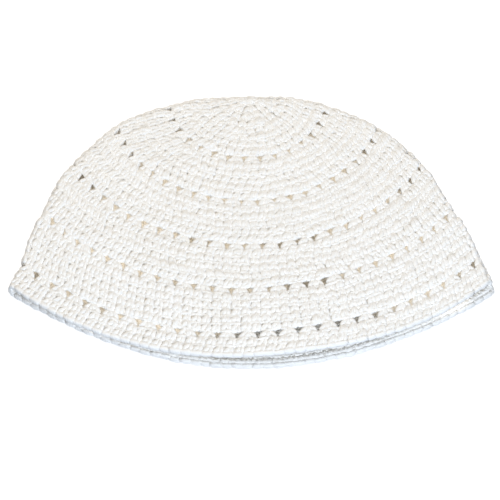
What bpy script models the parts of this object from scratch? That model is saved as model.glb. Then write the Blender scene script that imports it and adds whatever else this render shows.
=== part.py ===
"""A crocheted cotton skullcap, lying flat and folded once through the start of its crown.

The cap is one wall of crochet, worked in rounds from the middle of the crown to the rim. It lies
on its lower half, with the fold toward +Y and the open mouth toward -Y. Each round is a closed loop
that runs forward across the upper layer and back across the lower one.
"""

import math

import bpy
import bmesh

# Sizes, in metres.
ROUND_HEIGHT = 0.00492      # one round of stitches, measured along the cloth
WALL = 0.0032               # thickness of the crochet
CROWN_GAP = 0.0054          # clear height between the layers beside the crown fold
RIM_GAP = 0.0016            # the same at the rim's two corners
START_LEAD = 0.0055         # how far the first round lies in front of the fold
RIM_LEAD = 0.0018           # how far the lower rim stands out in front of the upper one
LEFT_LEAD = 0.0010          # the same at the left corner
RIGHT_LEAD = 0.0045         # the same at the right corner
MOUTH_LIFT = 0.0038         # how much more the mouth gapes at its widest place
MOUTH_CENTRE = 0.033        # where that place is, to the right of the crown
MOUTH_REACH = 0.048         # how far the gape spreads to each side

# Counts.
ROUNDS = 35
FAN_ROUNDS = 36             # where the table of the spread ends
EYELET_ROUNDS = (27, 33)
EYELETS = 52                # in each of those rounds, one to two stitches

# Shares.
EYELET_WIDE = 0.45          # half an eyelet's width toward the crown, in stitches
EYELET_NARROW = 0.16        # half its width toward the rim, in stitches
EYELET_TURN = 0.08          # how far the first eyelet stands past the back, in eyelets
MOUTH_FROM = 0.55           # where along the cloth the gape begins
RIM_EDGE = 0.20             # height of the chain that ends the last round, in rounds
PULL_FROM = 0.62            # where along the cloth the lower layer is fully drawn forward

# How the folded cap spreads, from the crown's start (0) to just past the rim (1).
# left and right: half angle of the layer at that round, in degrees, seen from above.
# open: height between the layers, 1 for CROWN_GAP and 0 for RIM_GAP.
COLUMNS = ("along", "left", "right", "open")
SPREAD = (
    (0.00, 90.0, 90.0, 1.00),
    (0.12, 86.5, 88.0, 1.00),
    (0.24, 81.0, 81.0, 0.99),
    (0.36, 75.8, 74.5, 0.97),
    (0.48, 67.5, 67.5, 0.92),
    (0.60, 60.8, 60.5, 0.84),
    (0.70, 54.5, 55.0, 0.72),
    (0.80, 49.8, 51.0, 0.50),
    (0.90, 45.4, 47.3, 0.22),
    (1.00, 43.0, 44.3, 0.00),
)

# The rings of the mesh: rounds from the start, and the number of columns before the folds' own.
CROWN_RINGS = (
    (0.7, 10), (1.4, 16), (2.2, 20), (3.0, 26), (4.0, 32), (5.5, 42), (7.0, 52),
    (9.0, 62), (11.0, 74), (13.0, 84), (15.0, 92), (17.0, 100),
)
PLAIN_RINGS = (19.0, 21.0, 23.0, 24.6)
FOLD_BAND = 0.011           # half width of the band with more columns, along a round


def smooth(t):
    """Eases from 0 to 1."""
    t = min(1.0, max(0.0, t))
    return t * t * (3.0 - 2.0 * t)


def spread(name, along):
    """A column of the table at one place along the cloth, on a smooth curve through its rows."""
    col = COLUMNS.index(name)
    xs = [row[0] for row in SPREAD]
    ys = [row[col] for row in SPREAD]
    last = len(xs) - 1
    along = min(1.0, max(0.0, along))
    i = 0
    while i < last - 1 and along > xs[i + 1]:
        i += 1

    def slope(k):
        a = max(0, k - 1)
        b = min(last, k + 1)
        return (ys[b] - ys[a]) / (xs[b] - xs[a])

    h = xs[i + 1] - xs[i]
    t = (along - xs[i]) / h
    return (
        (2 * t**3 - 3 * t**2 + 1) * ys[i]
        + (t**3 - 2 * t**2 + t) * h * slope(i)
        + (3 * t**2 - 2 * t**3) * ys[i + 1]
        + (t**3 - t**2) * h * slope(i + 1)
    )


def half_gap(along):
    """Half the distance between the middles of the two layers."""
    opening = RIM_GAP + (CROWN_GAP - RIM_GAP) * spread("open", along)
    return (opening + WALL) / 2.0


def cloth_point(r, turn):
    """Middle of the cloth at the distance r from the start, turn radians round it.

    At +90 degrees it is in the middle of the upper layer, at -90 degrees of the lower one.
    """
    along = r / (ROUND_HEIGHT * FAN_ROUNDS)
    c = half_gap(along)
    ahead = r * math.sin(turn) + START_LEAD
    aside = r * math.cos(turn)
    away = abs(ahead)

    # Round the fold the cloth follows a half circle, and past it each layer is level.
    bend = min(away / c, math.pi / 2)
    depth = c * (1.0 - math.cos(bend)) + max(0.0, away - math.pi / 2 * c)
    rise = math.copysign(c * math.sin(bend), ahead)

    # The rounds stay circles about the start, and close up toward the rim like a fan.
    forward = depth + (math.pi / 2 - 1.0) * c - START_LEAD
    radius = math.hypot(aside, forward)
    angle = math.atan2(abs(aside), forward)
    half = spread("left" if aside < 0 else "right", along)
    fan = angle * half / 90.0

    # The lower layer is drawn forward until its rim stands out in front of the upper one's.
    side = (aside / r) ** 2 if r > 0 else 0.0
    if ahead < 0:
        corner = LEFT_LEAD if aside < 0 else RIGHT_LEAD
        lead = (RIM_LEAD + (corner - RIM_LEAD) * side) * along**2
        pull = 2.0 * START_LEAD * (1.0 - side) + lead
        radius += smooth(away / (3.0 * c)) * pull * min(along / PULL_FROM, 1.0)
    x = math.copysign(radius * math.sin(fan), aside)
    y = -radius * math.cos(fan)

    # The upper layer's rim gapes, most to the right of the middle.
    lift = 0.0
    if ahead > 0:
        gape = math.exp(-(((x - MOUTH_CENTRE) / MOUTH_REACH) ** 2))
        inward = 1.0 - min(1.0, angle / (math.pi / 2)) ** 2
        near_rim = smooth((along - MOUTH_FROM) / (1.0 - MOUTH_FROM))
        lift = MOUTH_LIFT * gape * inward * near_rim * smooth(away / (2.2 * c))
    return (x, y, WALL / 2.0 + c + rise + lift)


def loop_points(r, shares):
    """Points of one round at shares of its length, which starts at the middle of the lower layer."""
    steps = 720
    track = [cloth_point(r, -math.pi / 2 + 2 * math.pi * k / steps) for k in range(steps + 1)]
    marks = [0.0]
    for a, b in zip(track, track[1:]):
        marks.append(marks[-1] + math.dist(a, b))
    points = []
    i = 0
    for share in shares:
        goal = share * marks[-1]
        while i < steps - 1 and marks[i + 1] < goal:
            i += 1
        t = (goal - marks[i]) / (marks[i + 1] - marks[i])
        points.append(tuple(p + (q - p) * t for p, q in zip(track[i], track[i + 1])))
    return points


def loop_length(r):
    """Length of one round."""
    track = [cloth_point(r, 2 * math.pi * k / 180) for k in range(181)]
    return sum(math.dist(a, b) for a, b in zip(track, track[1:]))


def near_fold(share, r):
    """Whether a place on a round is in the bend at either side."""
    band = FOLD_BAND / loop_length(r)
    return min(abs(share - 0.25), abs(share - 0.75)) < band


def crown_shares(r, count):
    """Even columns, with one more between each two that lie in a fold."""
    shares = []
    for k in range(count):
        shares.append(k / count)
        if near_fold((k + 0.5) / count, r):
            shares.append((k + 0.5) / count)
    return shares


def eyelet_columns():
    """Columns beside the eyelets: the eyelet's number and the place, for one whole round."""
    reach = ROUND_HEIGHT * EYELET_ROUNDS[-1]
    columns = []
    for k in range(EYELETS):
        columns.append((k, "left"))
        if near_fold((k + EYELET_TURN) / EYELETS, reach):
            columns += [(k, "inner_left"), (k, "middle"), (k, "inner_right")]
        columns.append((k, "right"))
        if near_fold((k + 0.5 + EYELET_TURN) / EYELETS, reach):
            columns += [(k, "bar_left"), (k, "bar"), (k, "bar_right")]
    return columns


def column_share(column, half_width):
    """Place of a column on a round, where half_width is half the eyelet's width in stitches."""
    number, place = column
    edge = half_width / 2.0
    offset = {
        "left": -edge,
        "inner_left": -edge / 2.0,
        "middle": 0.0,
        "inner_right": edge / 2.0,
        "right": edge,
        "bar_left": (edge + 0.5) / 2.0,
        "bar": 0.5,
        "bar_right": (1.5 - edge) / 2.0,
    }[place]
    return (number + EYELET_TURN + offset) / EYELETS


def rotate_to_start(shares):
    """Brings the shares into 0 to 1, and gives their order round the loop."""
    wrapped = [s % 1.0 for s in shares]
    order = sorted(range(len(wrapped)), key=lambda i: wrapped[i])
    return wrapped, order


def ring_vertices(bm, r, shares):
    """One ring of vertices, in the order of the shares as given."""
    wrapped, order = rotate_to_start(shares)
    points = loop_points(r, [wrapped[i] for i in order])
    verts = [None] * len(shares)
    for i, point in zip(order, points):
        verts[i] = bm.verts.new(point)
    return wrapped, verts


def bridge_uneven(bm, inner, outer):
    """Triangles between two rings whose columns differ."""
    ia = sorted(range(len(inner[0])), key=lambda i: inner[0][i])
    ib = sorted(range(len(outer[0])), key=lambda i: outer[0][i])
    na = len(ia)
    nb = len(ib)
    a = 0
    b = 0
    while a < na or b < nb:
        va = inner[1][ia[a % na]]
        vb = outer[1][ib[b % nb]]
        next_a = inner[0][ia[(a + 1) % na]] + (1.0 if a + 1 >= na else 0.0)
        next_b = outer[0][ib[(b + 1) % nb]] + (1.0 if b + 1 >= nb else 0.0)
        if b < nb and (a >= na or next_b <= next_a):
            bm.faces.new((va, vb, outer[1][ib[(b + 1) % nb]]))
            b += 1
        else:
            bm.faces.new((va, vb, inner[1][ia[(a + 1) % na]]))
            a += 1


def bridge_even(bm, inner, outer, skip):
    """Faces between two rings with the same columns, less those that skip names."""
    count = len(inner[1])
    for i in range(count):
        j = (i + 1) % count
        if i not in skip:
            bm.faces.new((inner[1][i], outer[1][i], outer[1][j], inner[1][j]))


def build_cloth():
    """The middle surface of the cloth, with the eyelets left out."""
    bm = bmesh.new()
    start = bm.verts.new(cloth_point(0.0, math.pi / 2))
    previous = None
    for rounds, count in CROWN_RINGS:
        r = rounds * ROUND_HEIGHT
        ring = ring_vertices(bm, r, crown_shares(r, count))
        if previous is None:
            verts = ring[1]
            for i, vert in enumerate(verts):
                bm.faces.new((start, vert, verts[(i + 1) % len(verts)]))
        else:
            bridge_uneven(bm, previous, ring)
        previous = ring

    # From here every ring has the columns of the eyelets.
    columns = eyelet_columns()
    rings = [(rounds, 0.5, False) for rounds in PLAIN_RINGS]
    for number in EYELET_ROUNDS:
        rings.append((number - 1.0, EYELET_WIDE, False))
        rings.append((number * 1.0, EYELET_NARROW, True))
    for first, second in zip(EYELET_ROUNDS, EYELET_ROUNDS[1:]):
        span = second - 1.0 - first
        rings.append((first + span / 3.0, 0.5, False))
        rings.append((first + span * 2.0 / 3.0, 0.5, False))
    span = ROUNDS + RIM_EDGE - EYELET_ROUNDS[-1]
    rings.append((EYELET_ROUNDS[-1] + span / 2.0, 0.5, False))
    rings.append((EYELET_ROUNDS[-1] + span, 0.5, False))
    rings.sort()

    holes = set()
    for i, column in enumerate(columns):
        if column[1] in ("left", "inner_left", "middle", "inner_right"):
            holes.add(i)
    first = True
    for rounds, width, pierced in rings:
        shares = [column_share(column, width) for column in columns]
        ring = ring_vertices(bm, rounds * ROUND_HEIGHT, shares)
        if first:
            bridge_uneven(bm, previous, ring)
        else:
            bridge_even(bm, previous, ring, holes if pierced else set())
        first = False
        previous = ring
    bmesh.ops.recalc_face_normals(bm, faces=bm.faces)
    bm.normal_update()
    top = max(bm.faces, key=lambda face: face.calc_center_median().z)
    if top.normal.z < 0:
        bmesh.ops.reverse_faces(bm, faces=bm.faces)
    mesh = bpy.data.meshes.new("crocheted_cap")
    bm.to_mesh(mesh)
    bm.free()
    return mesh


def cotton():
    """Off-white cotton."""
    material = bpy.data.materials.new("cotton_white")
    material.use_nodes = True
    shader = material.node_tree.nodes["Principled BSDF"]
    shader.inputs["Base Color"].default_value = (0.87, 0.86, 0.83, 1.0)
    shader.inputs["Roughness"].default_value = 0.9
    shader.inputs["Metallic"].default_value = 0.0
    material.diffuse_color = (0.87, 0.86, 0.83, 1.0)
    return material


def centre_on_floor(obj):
    """Stands the origin under the middle of the finished solid."""
    solid = obj.evaluated_get(bpy.context.evaluated_depsgraph_get())
    mesh = solid.to_mesh()
    lows = [min(v.co[k] for v in mesh.vertices) for k in range(3)]
    highs = [max(v.co[k] for v in mesh.vertices) for k in range(3)]
    solid.to_mesh_clear()
    obj.location = (-(lows[0] + highs[0]) / 2, -(lows[1] + highs[1]) / 2, -lows[2])


def main():
    for old in list(bpy.data.objects):
        bpy.data.objects.remove(old, do_unlink=True)
    mesh = build_cloth()
    mesh.materials.append(cotton())
    mesh.shade_smooth()
    cap = bpy.data.objects.new("crocheted_cap", mesh)
    bpy.context.scene.collection.objects.link(cap)
    wall = cap.modifiers.new("wall", 'SOLIDIFY')
    wall.thickness = WALL
    wall.offset = 0.0
    wall.use_even_offset = False
    wall.use_rim = True
    bpy.context.view_layer.update()
    centre_on_floor(cap)
    bpy.context.view_layer.update()


main()
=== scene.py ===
"""The look of a crocheted cotton skullcap that lies folded in two, made stitch by stitch.

The cloth's middle surface is the same as the solid's. Every stitch is yarn laid along that
surface, in rounds from the start of the crown to the rim, with the eyelets left open between them.
"""

import math

import bpy
import numpy as np
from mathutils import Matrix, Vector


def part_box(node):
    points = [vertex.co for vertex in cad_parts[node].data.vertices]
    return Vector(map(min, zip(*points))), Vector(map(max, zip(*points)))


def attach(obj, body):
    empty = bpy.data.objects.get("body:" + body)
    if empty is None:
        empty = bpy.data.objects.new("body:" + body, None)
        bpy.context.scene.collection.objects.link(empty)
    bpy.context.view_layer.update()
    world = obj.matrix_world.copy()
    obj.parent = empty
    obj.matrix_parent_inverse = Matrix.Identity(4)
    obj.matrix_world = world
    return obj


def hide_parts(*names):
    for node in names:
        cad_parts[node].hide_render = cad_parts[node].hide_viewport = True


# Sizes shared with the solid, in metres.
ROUND_HEIGHT = 0.00492      # one round of stitches, measured along the cloth
WALL = 0.0032               # thickness of the crochet
CROWN_GAP = 0.0054          # clear height between the layers beside the crown fold
RIM_GAP = 0.0016            # the same at the rim's two corners
START_LEAD = 0.0055         # how far the first round lies in front of the fold
RIM_LEAD = 0.0018           # how far the lower rim stands out in front of the upper one
LEFT_LEAD = 0.0010          # the same at the left corner
RIGHT_LEAD = 0.0045         # the same at the right corner
MOUTH_LIFT = 0.0038         # how much more the mouth gapes at its widest place
MOUTH_CENTRE = 0.033        # where that place is, to the right of the crown
MOUTH_REACH = 0.048         # how far the gape spreads to each side

# Counts and shares that are the solid's too.
ROUNDS = 35
FAN_ROUNDS = 36             # where the table of the spread ends
RIM_EDGE = 0.20             # height of the chain that ends the last round, in rounds
MOUTH_FROM = 0.55           # where along the cloth the gape begins
PULL_FROM = 0.62            # where along the cloth the lower layer is fully drawn forward
PULL_BAND = 3.0             # how far from the fold that pull grows, in radii of the fold
LIFT_BAND = 2.2             # how far from the fold the gape grows, in the same

# How the folded cap spreads, from the crown's start (0) to just past the rim (1).
# left and right: half angle of the layer at that round, in degrees, seen from above.
# open: height between the layers, 1 for CROWN_GAP and 0 for RIM_GAP.
COLUMNS = ("along", "left", "right", "open")
SPREAD = (
    (0.00, 90.0, 90.0, 1.00),
    (0.12, 86.5, 88.0, 1.00),
    (0.24, 81.0, 81.0, 0.99),
    (0.36, 75.8, 74.5, 0.97),
    (0.48, 67.5, 67.5, 0.92),
    (0.60, 60.8, 60.5, 0.84),
    (0.70, 54.5, 55.0, 0.72),
    (0.80, 49.8, 51.0, 0.50),
    (0.90, 45.4, 47.3, 0.22),
    (1.00, 43.0, 44.3, 0.00),
)

# Stitches at chosen rounds; those between are read off a straight line.
STITCHES = ((1, 7), (8, 54), (9, 60), (15, 88), (21, 100), (26, 104), (35, 104))
# Rounds worked as two stitches into every second stitch of the round before, and how far the
# first eyelet stands from the middle of the lower layer, in eyelets.
EYELET_ROUNDS = {9: 0.20, 15: 0.23, 21: 0.12, 27: 0.08, 33: 0.09}

# Bands of rounds, each one piece: name, first and last round.
BANDS = (
    ("crown_start", 1, 12), ("crown_side", 13, 18), ("upper_band", 19, 24),
    ("lower_band", 25, 30), ("rim_band", 31, ROUNDS),
)

# Yarn.
PLIES = 3
PLY_TURN = 0.0042           # length of one turn of the yarn's twist
FLAT = 0.72                 # thickness of a strand through the cloth, over its width
LEAN = 0.12                 # how far a stitch leans from its foot to its top, in stitches
TILT = 0.10                 # how far its strands lean besides, in stitches for each round
TILT_ABOUT = 0.4            # height about which they lean, in rounds
FURTHEST_FOOT = 0.45        # furthest a foot stands from its stitch's top, in stitches
NEAREST_START = 0.04        # nearest that yarn comes to the start of the crown, in rounds

# Eyelet rounds.
PAIR_FOOT = 0.05            # half the distance between the feet of two that fan out, in stitches
EYELET_LIFT = 0.29          # how far the chain above an eyelet is drawn back, in rounds
EYELET_DROP = 0.16          # how far the chain below an eyelet is drawn on, in rounds
EYELET_PEAK = 0.8           # how pointed that pull is: below 1 is rounder
EYELET_SINK = 0.00026       # how much deeper the stitches between eyelets lie
EYELET_THIN = 0.94          # how much thinner they are drawn
EYELET_BAR = 0.75           # how much narrower their inner strand is

# The last rounds.
EDGE_THICK = 1.30           # how much thicker the chain along the rim is
EDGE_CALM = 0.4             # how much of its uneven height the last round keeps
CLOSE_ROUNDS = 2            # rounds at the rim that are closed on the inside by the inner strand
CLOSE_REACH = 1.12          # how much further on their inside strands reach
CLOSE_THICK = 1.20          # how much thicker these are

# Unevenness of hand work, as the spread of what is drawn at random.
UNEVEN_FOOT = 0.05          # half the distance between the feet of two that fan out, in stitches
UNEVEN_PAIR = 0.07          # place of these two, in stitches
UNEVEN_TOP = 0.03           # place of a stitch's top, in stitches
UNEVEN_TILT = 0.06          # lean of its strands, in stitches for each round
UNEVEN_SAG = 0.035          # height of a stitch, in rounds
UNEVEN_BEND = 0.03          # one point of a strand, in stitches across and in rounds along
UNEVEN_OUT = 0.00009        # how far that point stands out
UNEVEN_THICK = 0.05         # the strand's radius there, as a share of it
SWELL_OUT = 0.0001          # how far a fuller stitch stands out
SWELL_THICK = 0.05          # how much thicker it is, as a share
SEED = 36

# How the rounds waver. waves: in one turn. height: in rounds. start and step: of the wave, in
# radians, and its change from round to round.
WAVER = ((5, 0.05, 0.0, 0.9), (11, 0.04, 1.0, -0.6), (23, 0.03, 0.0, 1.7))
WAVER_CALM = 6.0            # rounds before the rim over which the wavering fades

# One single crochet, as strands of yarn. across: from its middle, in stitches. along: from the
# round before, in rounds. out: from the middle of the cloth, and thick: the strand's radius,
# both in millimetres.
# legs: one loop, down the left leg, through under the chain, and up the right leg.
# front and back: the two strands of the chain along the top. bar: the strand on the inside.
# inner: a second strand on the inside, between two stitches of the last rounds.
MILLIMETRE = 0.001
STRAND_COLUMNS = ("across", "along", "out", "thick")
STITCH = {
    "legs": (
        (-0.19, 1.00, -0.30, 1.00), (-0.27, 0.82, 0.20, 1.34), (-0.24, 0.56, 0.34, 1.50),
        (-0.17, 0.30, 0.30, 1.36), (-0.11, 0.05, 0.10, 1.10), (-0.07, -0.14, -0.35, 0.85),
        (0.07, -0.14, -0.35, 0.85), (0.09, 0.05, 0.14, 1.14), (0.16, 0.30, 0.36, 1.42),
        (0.23, 0.56, 0.41, 1.56), (0.27, 0.82, 0.24, 1.38), (0.20, 1.02, -0.30, 1.00),
    ),
    "front": (
        (-0.62, 0.97, -0.04, 1.02), (-0.32, 1.01, 0.18, 1.20), (0.00, 1.03, 0.24, 1.26),
        (0.32, 1.02, 0.18, 1.20), (0.62, 0.98, -0.06, 1.02),
    ),
    "back": (
        (-0.58, 1.00, -0.46, 0.95), (-0.20, 1.06, -0.52, 1.02), (0.25, 1.05, -0.55, 1.02),
        (0.58, 0.98, -0.50, 0.95),
    ),
    "bar": (
        (-0.34, 0.12, -0.46, 0.90), (-0.31, 0.40, -0.46, 1.16), (-0.13, 0.60, -0.48, 1.30),
        (0.15, 0.62, -0.48, 1.30), (0.32, 0.42, -0.46, 1.16), (0.34, 0.14, -0.46, 0.90),
    ),
    "inner": (
        (0.20, 0.18, -0.44, 1.00), (0.22, 0.42, -0.44, 1.16), (0.38, 0.62, -0.46, 1.30),
        (0.64, 0.63, -0.46, 1.30), (0.80, 0.43, -0.44, 1.16), (0.82, 0.19, -0.44, 1.00),
    ),
}
# Sides of each strand's tube.
STRAND_SIDES = {"legs": 6, "front": 6, "back": 5, "bar": 5, "inner": 5}

# Cotton.
COTTON = (0.982, 0.974, 0.957)
COTTON_DULL = (0.975, 0.97, 0.96)   # colour of its duller patches, over its own
COTTON_ROUGH = 0.9
COTTON_SHINE = 0.25
COTTON_DOWN = 0.15          # sheen of the down on the yarn
DOWN_ROUGH = 0.5
PATCHES = 28.0              # scale of the patches
PATCH_DETAIL = 3.0
PATCH_EDGES = (0.25, 0.75)  # where a patch is fully dull, and where it has its own colour
TINT = 0.09                 # how much the strands differ from each other
FUZZ = 2600.0               # scale of the fuzz
FUZZ_DETAIL = 2.0
FUZZ_SHARE = 0.9            # its height, over the twist's
RELIEF = 0.00012            # depth of twist and fuzz
RELIEF_STRENGTH = 0.4

# Studio.
FLOOR_SIDE = 12.0
FLOOR_DROP = 0.0004         # how far the floor lies under the cap
FLOOR_GREY = 0.60
FLOOR_ROUGH = 0.9
FLOOR_GLOW = 0.72
# The sky: which way its brightest part lies, and its colours, from 0 on the far side of it to 1
# right there.
SKY_TOWARD = (-0.30, 0.62, 0.72)
SKY = ((0.12, (0.28, 0.32, 0.40)), (0.34, (0.80, 0.87, 1.0)), (0.85, (1.0, 0.975, 0.93)))
SKY_STRENGTH = 0.41
# Lamps, aimed at the middle of the floor: name, place, width, depth, power and colour.
LAMPS = (
    ("key", (-0.22, 0.56, 0.80), 0.4, 0.4, 4.0, (1.0, 0.905, 0.775)),
    ("fill", (0.45, -0.62, 0.66), 0.5, 0.5, 1.4, (0.88, 0.94, 1.0)),
    ("front", (0.15, -0.92, 0.34), 0.6, 0.3, 6.2, (0.80, 0.89, 1.0)),
)

# Lamps between the layers, which stand for the light that the cloth lets through onto the inside
# of the lower one: name, middle, width, depth and power.
INNER_HEIGHT = 0.0042
INNER_COLOUR = (1.0, 0.90, 0.76)
INNER_LIGHTS = (
    ("inner_back", 0.000, 0.036, 0.130, 0.080, 0.0058),
    ("inner_left", -0.074, -0.010, 0.076, 0.076, 0.0036),
    ("inner_right", 0.074, -0.010, 0.076, 0.076, 0.0034),
    ("inner_front", -0.010, -0.030, 0.060, 0.052, 0.0015),
    ("inner_rim", -0.046, -0.060, 0.080, 0.022, 0.0013),
    ("inner_corner", -0.090, -0.038, 0.046, 0.020, 0.0005),
    ("inner_far_corner", 0.086, -0.047, 0.050, 0.022, 0.0006),
)

BOUNCES = 24                # white cloth passes light on many times
DIFFUSE_BOUNCES = 20

# Camera.
VIEW_ELEVATION = 48.65      # degrees above the floor
VIEW_DISTANCE = 5.0
VIEW_AIM = (-0.0004, -0.0145, 0.006)
VIEW_WIDTH = 0.255          # what the picture takes in at that distance, from side to side
SENSOR_WIDTH = 36.0

# How finely the cloth's middle is worked out before yarn is laid on it.
RINGS_PER_ROUND = 4
RING_SHARES = 1440
FIRST_RING = 0.02           # radius of the innermost ring, in rounds
SLOPE_STEP = 0.0002         # how far to each side the cloth's slope is measured
THROUGH = 0.15              # sine of the angle under which a strand counts as straight through it


def smooth(t):
    """Eases from 0 to 1."""
    t = np.clip(t, 0.0, 1.0)
    return t * t * (3.0 - 2.0 * t)


def spread(name, along):
    """A column of the table, on a smooth curve through its rows."""
    xs = np.array([row[0] for row in SPREAD])
    ys = np.array([row[COLUMNS.index(name)] for row in SPREAD])
    first = np.arange(len(xs))
    low = np.maximum(first - 1, 0)
    high = np.minimum(first + 1, len(xs) - 1)
    slopes = (ys[high] - ys[low]) / (xs[high] - xs[low])
    along = np.clip(along, 0.0, 1.0)
    i = np.clip(np.searchsorted(xs, along, side="right") - 1, 0, len(xs) - 2)
    h = xs[i + 1] - xs[i]
    t = (along - xs[i]) / h
    return (
        (2 * t**3 - 3 * t**2 + 1) * ys[i]
        + (t**3 - 2 * t**2 + t) * h * slopes[i]
        + (3 * t**2 - 2 * t**3) * ys[i + 1]
        + (t**3 - t**2) * h * slopes[i + 1]
    )


def cloth_middle(aside, ahead):
    """Middle of the cloth, from the place on the flat crochet: across, and toward the front."""
    r = np.hypot(aside, ahead) + 1e-9
    along = r / (ROUND_HEIGHT * FAN_ROUNDS)
    c = (RIM_GAP + (CROWN_GAP - RIM_GAP) * spread("open", along) + WALL) / 2.0
    beyond = ahead + START_LEAD
    away = np.abs(beyond)
    bend = np.minimum(away / c, math.pi / 2)
    depth = c * (1.0 - np.cos(bend)) + np.maximum(0.0, away - math.pi / 2 * c)
    rise = np.sign(beyond) * c * np.sin(bend)
    forward = depth + (math.pi / 2 - 1.0) * c - START_LEAD
    radius = np.hypot(aside, forward)
    angle = np.arctan2(np.abs(aside), forward)
    half = np.where(aside < 0, spread("left", along), spread("right", along))
    fan = angle * half / 90.0
    side = (aside / r) ** 2
    corner = np.where(aside < 0, LEFT_LEAD, RIGHT_LEAD)
    lead = (RIM_LEAD + (corner - RIM_LEAD) * side) * along**2
    pull = (2.0 * START_LEAD * (1.0 - side) + lead) * np.minimum(along / PULL_FROM, 1.0)
    radius = radius + np.where(beyond < 0, smooth(away / (PULL_BAND * c)) * pull, 0.0)
    x = np.sign(aside) * radius * np.sin(fan)
    y = -radius * np.cos(fan)
    gape = np.exp(-(((x - MOUTH_CENTRE) / MOUTH_REACH) ** 2))
    inward = 1.0 - np.minimum(1.0, angle / (math.pi / 2)) ** 2
    near_rim = smooth((along - MOUTH_FROM) / (1.0 - MOUTH_FROM))
    lift = MOUTH_LIFT * gape * inward * near_rim * smooth(away / (LIFT_BAND * c))
    lift = np.where(beyond > 0, lift, 0.0)
    return np.stack([x, y, WALL / 2.0 + c + rise + lift], axis=-1)


class Cloth:
    """The cloth's middle and outward normal, by round and by share of the round's length."""

    def __init__(self, box):
        last = (ROUNDS + 1) * RINGS_PER_ROUND
        self.radii = np.arange(last + 1) / RINGS_PER_ROUND * ROUND_HEIGHT
        self.radii[0] = FIRST_RING * ROUND_HEIGHT
        turn = np.linspace(-math.pi / 2, 3 * math.pi / 2, RING_SHARES + 1)
        self.middle = np.empty((last + 1, RING_SHARES + 1, 3))
        self.normal = np.empty_like(self.middle)
        for j, r in enumerate(self.radii):
            track = cloth_middle(r * np.cos(turn), r * np.sin(turn))
            marks = np.concatenate([[0], np.cumsum(np.linalg.norm(np.diff(track, axis=0), axis=1))])
            even = np.interp(np.linspace(0, marks[-1], RING_SHARES + 1), marks, turn)
            u = r * np.cos(even)
            v = r * np.sin(even)
            self.middle[j] = cloth_middle(u, v)
            du = cloth_middle(u + SLOPE_STEP, v) - cloth_middle(u - SLOPE_STEP, v)
            dv = cloth_middle(u, v + SLOPE_STEP) - cloth_middle(u, v - SLOPE_STEP)
            normal = np.cross(dv, du)
            self.normal[j] = normal / np.linalg.norm(normal, axis=1, keepdims=True)
        if self.normal[last // 2, RING_SHARES // 2, 2] < 0:
            self.normal = -self.normal
        share, rounds = np.meshgrid(
            np.linspace(0.0, 1.0, RING_SHARES),
            np.append(np.arange(1.0, ROUNDS), ROUNDS + RIM_EDGE),
        )
        self.shift = np.zeros(3)
        skin = self.place(share, rounds, np.full(rounds.shape, WALL / 2))[0]
        low = skin.reshape(-1, 3).min(axis=0)
        high = skin.reshape(-1, 3).max(axis=0)
        centre = (np.array(box[0]) + np.array(box[1])) / 2 - (low + high) / 2
        self.shift = np.array([centre[0], centre[1], box[0][2] - low[2]])

    def lookup(self, grid, share, rounds):
        """A value between the worked-out points of a grid."""
        a = np.mod(share, 1.0) * RING_SHARES
        b = np.clip(rounds * RINGS_PER_ROUND, 0, len(self.radii) - 1.001)
        i = np.minimum(a.astype(int), RING_SHARES - 1)
        j = b.astype(int)
        a = (a - i)[..., None]
        b = (b - j)[..., None]
        return (
            grid[j, i] * (1 - a) * (1 - b)
            + grid[j, i + 1] * a * (1 - b)
            + grid[j + 1, i] * (1 - a) * b
            + grid[j + 1, i + 1] * a * b
        )

    def place(self, share, rounds, out):
        """Points on the cloth, and the outward direction there."""
        normal = self.lookup(self.normal, share, rounds)
        normal /= np.linalg.norm(normal, axis=-1, keepdims=True) + 1e-12
        middle = self.lookup(self.middle, share, rounds)
        return middle + normal * out[..., None] + self.shift, normal


def stitches_in(number):
    """How many stitches one round has."""
    xs = [row[0] for row in STITCHES]
    ys = [row[1] for row in STITCHES]
    return int(round(float(np.interp(number, xs, ys))))


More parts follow.
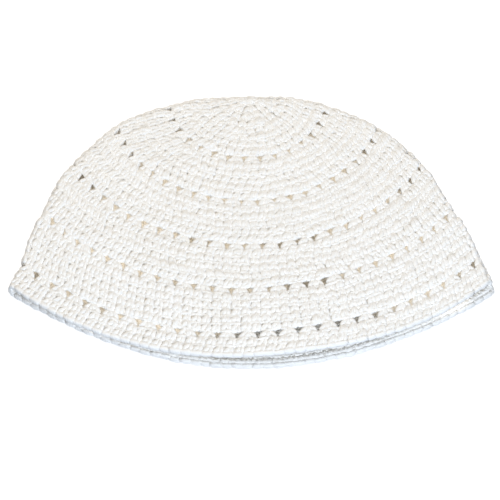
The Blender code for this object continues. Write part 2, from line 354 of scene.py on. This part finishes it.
class YarnMesh:
    """Collects yarns as tubes, then makes one mesh of them."""

    def __init__(self):
        self.verts = []
        self.faces3 = []
        self.faces4 = []
        self.uv3 = []
        self.uv4 = []
        self.tint = []
        self.count = 0

    def add(self, path, normals, thick, sides, tint, rng):
        """Tubes along path (yarns, points, 3), of a radius at each point, a little flattened."""
        n, k, _ = path.shape
        tangent = np.gradient(path, axis=1)
        tangent /= np.linalg.norm(tangent, axis=-1, keepdims=True) + 1e-12
        across = np.cross(tangent, normals)
        size = np.linalg.norm(across, axis=-1, keepdims=True)
        across = np.where(size > THROUGH, across / (size + 1e-12), 0.0)
        # Where the yarn runs straight through the cloth, its direction across has no length, and
        # the last good one carries on.
        for i in range(1, k):
            bad = np.linalg.norm(across[:, i], axis=-1) < 0.5
            across[bad, i] = across[bad, i - 1]
        for i in range(k - 2, -1, -1):
            bad = np.linalg.norm(across[:, i], axis=-1) < 0.5
            across[bad, i] = across[bad, i + 1]
        across -= tangent * np.sum(across * tangent, axis=-1, keepdims=True)
        across /= np.linalg.norm(across, axis=-1, keepdims=True) + 1e-12
        up = np.cross(across, tangent)
        length = np.concatenate(
            [np.zeros((n, 1)), np.cumsum(np.linalg.norm(np.diff(path, axis=1), axis=-1), axis=1)],
            axis=1,
        )
        angle = np.arange(sides) / sides * 2 * math.pi
        ring = (
            across[:, :, None] * np.cos(angle)[None, None, :, None] * thick[:, :, None, None]
            + up[:, :, None] * np.sin(angle)[None, None, :, None] * thick[:, :, None, None] * FLAT
        )
        verts = (path[:, :, None] + ring).reshape(-1, 3)
        verts[:, 2] = np.maximum(verts[:, 2], 0.0)
        base = self.count + np.arange(n)[:, None, None] * k * sides
        i = np.arange(k - 1)[None, :, None] * sides
        s = np.arange(sides)[None, None, :]
        t = (s + 1) % sides
        quads = np.stack(
            [base + i + s, base + i + t, base + i + sides + t, base + i + sides + s], axis=-1
        )
        self.faces4.append(quads.reshape(-1, 4))
        offset = rng.random((n, 1, 1))
        u0 = np.broadcast_to(length[:, :-1, None] / PLY_TURN + offset, (n, k - 1, sides))
        u1 = np.broadcast_to(length[:, 1:, None] / PLY_TURN + offset, (n, k - 1, sides))
        v0 = np.broadcast_to(s / sides, (n, k - 1, sides)).astype(float)
        v1 = v0 + 1.0 / sides
        uv = np.stack(
            [np.stack([u0, v0], -1), np.stack([u0, v1], -1), np.stack([u1, v1], -1),
             np.stack([u1, v0], -1)], axis=-2,
        )
        self.uv4.append(uv.reshape(-1, 2))
        for end, order in ((0, 1), (k - 1, -1)):
            first = self.count + np.arange(n)[:, None] * k * sides + end * sides
            fan = np.stack(
                [np.broadcast_to(first, (n, sides - 2)),
                 first + np.arange(2, sides)[None], first + np.arange(1, sides - 1)[None]],
                axis=-1,
            )[:, :, ::order]
            self.faces3.append(fan.reshape(-1, 3))
            self.uv3.append(np.zeros((fan.size // 3 * 3, 2)))
        self.verts.append(verts)
        self.tint.append(np.repeat(tint, k * sides))
        self.count += len(verts)

    def build(self, name, material):
        """One object of all the yarns collected."""
        verts = np.concatenate(self.verts).astype(np.float32)
        quads = np.concatenate(self.faces4).astype(np.int32)
        tris = np.concatenate(self.faces3).astype(np.int32)
        uv = np.concatenate(self.uv4 + self.uv3).astype(np.float32)
        loops = np.concatenate([quads.ravel(), tris.ravel()])
        starts = np.concatenate(
            [np.arange(len(quads)) * 4, len(quads) * 4 + np.arange(len(tris)) * 3]
        ).astype(np.int32)
        mesh = bpy.data.meshes.new(name)
        mesh.vertices.add(len(verts))
        mesh.vertices.foreach_set("co", verts.ravel())
        mesh.loops.add(len(loops))
        mesh.loops.foreach_set("vertex_index", loops)
        mesh.polygons.add(len(starts))
        mesh.polygons.foreach_set("loop_start", starts)
        mesh.update(calc_edges=True)
        layer = mesh.uv_layers.new(name="yarn")
        layer.data.foreach_set("uv", uv.ravel())
        shade = mesh.attributes.new("tint", 'FLOAT', 'POINT')
        shade.data.foreach_set("value", np.concatenate(self.tint).astype(np.float32))
        mesh.validate()
        mesh.shade_smooth()
        mesh.materials.append(material)
        obj = bpy.data.objects.new(name, mesh)
        bpy.context.scene.collection.objects.link(obj)
        return obj


def eyelet_pull(share, number, width):
    """1 over the middle of an eyelet of a round, 0 half a stitch and more away from it."""
    if number not in EYELET_ROUNDS:
        return np.zeros_like(share)
    away = np.mod(share / (2.0 * width) - EYELET_ROUNDS[number] + 0.5, 1.0) - 0.5
    return np.maximum(0.0, np.cos(math.pi * np.clip(2.0 * away, -0.5, 0.5))) ** EYELET_PEAK


def wander(share, number):
    """How far a place on a round strays from its even height, in rounds."""
    turn = 2 * math.pi * share
    sway = sum(
        height * np.sin(waves * turn + step * number + start)
        for waves, height, start, step in WAVER
    )
    return sway * smooth((ROUNDS + 1 - number) / WAVER_CALM)


def yarns_of_round(yarn, cloth, number, feet, rng):
    """Adds every stitch of one round, and returns where their tops stand, as shares of the round.

    feet: where the tops of the round before stand.
    """
    count = stitches_in(number)
    width = 1.0 / count
    eyelets = number in EYELET_ROUNDS
    if eyelets:
        # Two stitches share each foot, and the next stitch of the round before is skipped, so
        # that they fan out and leave an eyelet that narrows toward the rim.
        pair = np.repeat(np.arange(count // 2), 2)
        second = np.tile([-1.0, 1.0], count // 2)
        middle = (pair + 0.5 + EYELET_ROUNDS[number]) * 2 * width
        tops = middle + second * 0.5 * width
        foot = np.maximum(0.0, PAIR_FOOT + rng.normal(0, UNEVEN_FOOT, count // 2))
        shift = rng.normal(0, UNEVEN_PAIR, count // 2)
        base = middle + (second * np.repeat(foot, 2) + np.repeat(shift, 2)) * width
    else:
        phase = (feet[0] * count) % 1.0 + LEAN if count == len(feet) else rng.random()
        tops = (np.arange(count) + phase) * width
        gap = np.mod(tops[:, None] - feet[None, :] + 0.5, 1.0) - 0.5
        nearest = np.argmin(np.abs(gap - LEAN * width), axis=1)
        base = tops - gap[np.arange(count), nearest]
        furthest = FURTHEST_FOOT * width
        base = tops + np.clip(base - tops, -furthest, furthest)
        tops = tops + rng.normal(0.0, UNEVEN_TOP, count) * width

    tilt = rng.normal(TILT, UNEVEN_TILT, (count, 1))
    sag = rng.normal(0, UNEVEN_SAG, (count, 1))
    swell = rng.normal(0, 1.0, (count, 1))
    next_width = 1.0 / stitches_in(number + 1)
    calm = EDGE_CALM if number == ROUNDS else 1.0
    closed = number > ROUNDS - CLOSE_ROUNDS
    for name, rows in STITCH.items():
        if name == "inner" and not closed:
            continue
        shape = dict(zip(STRAND_COLUMNS, np.array(rows).T))
        size = (count, len(rows))
        lean = tilt * (shape["along"] - TILT_ABOUT)
        across = shape["across"] + lean + rng.normal(0, UNEVEN_BEND, size)
        along = shape["along"] + (sag + rng.normal(0, UNEVEN_BEND, size)) * calm
        out = shape["out"] * MILLIMETRE + swell * SWELL_OUT + rng.normal(0, UNEVEN_OUT, size)
        fuller = 1.0 + SWELL_THICK * swell + rng.normal(0, UNEVEN_THICK, size)
        thick = shape["thick"] * MILLIMETRE * fuller
        if number == ROUNDS and name in ("front", "back"):
            thick = thick * EDGE_THICK
        if closed and name in ("bar", "inner"):
            along = along * CLOSE_REACH
            thick = thick * CLOSE_THICK
        if eyelets and name == "bar":
            across = across * EYELET_BAR
        if eyelets and name == "legs":
            out = out - EYELET_SINK
            thick = thick * EYELET_THIN
        mix = np.clip(along, 0, 1)
        share = base[:, None] * (1 - mix) + tops[:, None] * mix + across * width
        if name in ("front", "back"):
            along = along + EYELET_DROP * eyelet_pull(share, number, width)
            along = along - EYELET_LIFT * eyelet_pull(share, number + 1, next_width)
        rounds = number - 1.0 + along + wander(share, number)
        path, normal = cloth.place(share, np.maximum(rounds, NEAREST_START), out)
        yarn.add(path, normal, thick, STRAND_SIDES[name], rng.normal(0, 1, count), rng)
    return tops


def cotton():
    """Off-white cotton yarn, with its twist, fuzz and slight unevenness."""
    material = bpy.data.materials.new("crocheted_cotton")
    material.use_nodes = True
    tree = material.node_tree
    nodes = tree.nodes
    links = tree.links
    shader = nodes["Principled BSDF"]
    shader.inputs["Roughness"].default_value = COTTON_ROUGH
    shader.inputs["Specular IOR Level"].default_value = COTTON_SHINE
    shader.inputs["Sheen Weight"].default_value = COTTON_DOWN
    shader.inputs["Sheen Roughness"].default_value = DOWN_ROUGH

    tint = nodes.new("ShaderNodeAttribute")
    tint.attribute_name = "tint"
    place = nodes.new("ShaderNodeTexCoord")
    cloud = nodes.new("ShaderNodeTexNoise")
    cloud.inputs["Scale"].default_value = PATCHES
    cloud.inputs["Detail"].default_value = PATCH_DETAIL
    links.new(place.outputs["Object"], cloud.inputs["Vector"])
    fine = nodes.new("ShaderNodeMath")
    fine.operation = 'MULTIPLY_ADD'
    links.new(tint.outputs["Fac"], fine.inputs[0])
    fine.inputs[1].default_value = TINT
    links.new(cloud.outputs["Fac"], fine.inputs[2])
    ramp = nodes.new("ShaderNodeValToRGB")
    dull, full = ramp.color_ramp.elements
    dull.position, full.position = PATCH_EDGES
    dull.color = (*(c * d for c, d in zip(COTTON, COTTON_DULL)), 1.0)
    full.color = (*COTTON, 1.0)
    links.new(fine.outputs[0], ramp.inputs["Fac"])
    links.new(ramp.outputs["Color"], shader.inputs["Base Color"])

    # The yarn's twist: plies that wind round it.
    uv = nodes.new("ShaderNodeUVMap")
    uv.uv_map = "yarn"
    split = nodes.new("ShaderNodeSeparateXYZ")
    links.new(uv.outputs["UV"], split.inputs[0])
    wind = nodes.new("ShaderNodeMath")
    wind.operation = 'MULTIPLY_ADD'
    links.new(split.outputs["Y"], wind.inputs[0])
    wind.inputs[1].default_value = PLIES
    turns = nodes.new("ShaderNodeMath")
    turns.operation = 'MULTIPLY'
    links.new(split.outputs["X"], turns.inputs[0])
    turns.inputs[1].default_value = PLIES
    links.new(turns.outputs[0], wind.inputs[2])
    angle = nodes.new("ShaderNodeMath")
    angle.operation = 'MULTIPLY'
    links.new(wind.outputs[0], angle.inputs[0])
    angle.inputs[1].default_value = 2 * math.pi
    wave = nodes.new("ShaderNodeMath")
    wave.operation = 'SINE'
    links.new(angle.outputs[0], wave.inputs[0])
    fuzz = nodes.new("ShaderNodeTexNoise")
    fuzz.inputs["Scale"].default_value = FUZZ
    fuzz.inputs["Detail"].default_value = FUZZ_DETAIL
    links.new(place.outputs["Object"], fuzz.inputs["Vector"])
    relief = nodes.new("ShaderNodeMath")
    relief.operation = 'MULTIPLY_ADD'
    links.new(fuzz.outputs["Fac"], relief.inputs[0])
    relief.inputs[1].default_value = FUZZ_SHARE
    links.new(wave.outputs[0], relief.inputs[2])
    bump = nodes.new("ShaderNodeBump")
    bump.inputs["Strength"].default_value = RELIEF_STRENGTH
    bump.inputs["Distance"].default_value = RELIEF
    links.new(relief.outputs[0], bump.inputs["Height"])
    links.new(bump.outputs["Normal"], shader.inputs["Normal"])
    return material


def build_cap(cloth):
    """The whole cap, in pieces of a few rounds each."""
    material = cotton()
    rng = np.random.default_rng(SEED)
    feet = np.arange(stitches_in(1)) / stitches_in(1)
    for name, first, last in BANDS:
        yarn = YarnMesh()
        for number in range(first, last + 1):
            feet = yarns_of_round(yarn, cloth, number, feet, rng)
        obj = yarn.build(name, material)
        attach(obj, "root")
        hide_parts("crocheted_cap")


def build_floor():
    """A plain white floor, just under the cap."""
    mesh = bpy.data.meshes.new("floor")
    half = FLOOR_SIDE / 2
    mesh.from_pydata(
        [(-half, -half, 0), (half, -half, 0), (half, half, 0), (-half, half, 0)], [], [(0, 1, 2, 3)]
    )
    material = bpy.data.materials.new("white_floor")
    material.use_nodes = True
    shader = material.node_tree.nodes["Principled BSDF"]
    shader.inputs["Base Color"].default_value = (FLOOR_GREY, FLOOR_GREY, FLOOR_GREY, 1.0)
    shader.inputs["Roughness"].default_value = FLOOR_ROUGH
    shader.inputs["Emission Color"].default_value = (1.0, 1.0, 1.0, 1.0)
    shader.inputs["Emission Strength"].default_value = FLOOR_GLOW
    mesh.materials.append(material)
    floor = bpy.data.objects.new("floor", mesh)
    floor.location = (0, 0, -FLOOR_DROP)
    floor.visible_diffuse = False
    bpy.context.scene.collection.objects.link(floor)


def area_light(name, place, aim, width, depth, power, colour):
    """A soft oval lamp."""
    lamp = bpy.data.lights.new(name, 'AREA')
    lamp.shape = 'ELLIPSE'
    lamp.size = width
    lamp.size_y = depth
    lamp.energy = power
    lamp.color = colour
    obj = bpy.data.objects.new(name, lamp)
    obj.location = place
    obj.rotation_euler = look_along(np.array(aim) - np.array(place))
    bpy.context.scene.collection.objects.link(obj)


def look_along(direction):
    """Turn of a lamp or camera that looks along a direction, with +Z up in the picture."""
    x, y, z = direction / np.linalg.norm(direction)
    pitch = math.pi / 2 + math.asin(z)
    heading = math.atan2(-x, y)
    return (pitch, 0.0, heading)


def build_light():
    """Soft studio light: warm and bright from above and behind, cool and dimmer from the front."""
    world = bpy.data.worlds.new("studio")
    world.use_nodes = True
    nodes = world.node_tree.nodes
    links = world.node_tree.links
    place = nodes.new("ShaderNodeTexCoord")
    lean = nodes.new("ShaderNodeVectorMath")
    lean.operation = 'DOT_PRODUCT'
    links.new(place.outputs["Generated"], lean.inputs[0])
    lean.inputs[1].default_value = SKY_TOWARD
    sky = nodes.new("ShaderNodeValToRGB")
    steps = sky.color_ramp.elements
    steps.new(0.5)
    for step, (position, colour) in zip(steps, SKY):
        step.position = position
        step.color = (*colour, 1.0)
    # From -1 to 1, to 0 to 1.
    shift = nodes.new("ShaderNodeMath")
    shift.operation = 'MULTIPLY_ADD'
    links.new(lean.outputs["Value"], shift.inputs[0])
    shift.inputs[1].default_value = 0.5
    shift.inputs[2].default_value = 0.5
    links.new(shift.outputs[0], sky.inputs["Fac"])
    background = nodes["Background"]
    links.new(sky.outputs["Color"], background.inputs["Color"])
    background.inputs["Strength"].default_value = SKY_STRENGTH
    bpy.context.scene.world = world
    for name, place, width, depth, power, colour in LAMPS:
        area_light(name, place, (0, 0, 0), width, depth, power, colour)
    for name, x, y, width, depth, power in INNER_LIGHTS:
        area_light(name, (x, y, INNER_HEIGHT), (x, y, 0), width, depth, power, INNER_COLOUR)


def build_camera():
    """A view from the mouth's side, well above the floor, through a long lens."""
    lens = bpy.data.cameras.new("camera")
    lens.sensor_width = SENSOR_WIDTH
    lens.lens = SENSOR_WIDTH * VIEW_DISTANCE / VIEW_WIDTH
    elevation = math.radians(VIEW_ELEVATION)
    away = np.array([0.0, -math.cos(elevation), math.sin(elevation)])
    camera = bpy.data.objects.new("camera", lens)
    camera.location = np.array(VIEW_AIM) + away * VIEW_DISTANCE
    camera.rotation_euler = look_along(-away)
    bpy.context.scene.collection.objects.link(camera)
    bpy.context.scene.camera = camera


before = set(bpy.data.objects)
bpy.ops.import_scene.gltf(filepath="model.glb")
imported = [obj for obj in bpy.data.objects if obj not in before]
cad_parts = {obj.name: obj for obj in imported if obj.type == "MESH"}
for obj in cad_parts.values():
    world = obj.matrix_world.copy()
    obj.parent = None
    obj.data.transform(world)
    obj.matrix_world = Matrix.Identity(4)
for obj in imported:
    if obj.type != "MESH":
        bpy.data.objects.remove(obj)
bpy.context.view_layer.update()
cloth_surface = Cloth(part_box("crocheted_cap"))
build_cap(cloth_surface)
build_floor()
build_light()
build_camera()
bpy.context.scene.view_settings.view_transform = 'Standard'
bpy.context.scene.cycles.max_bounces = BOUNCES
bpy.context.scene.cycles.diffuse_bounces = DIFFUSE_BOUNCES
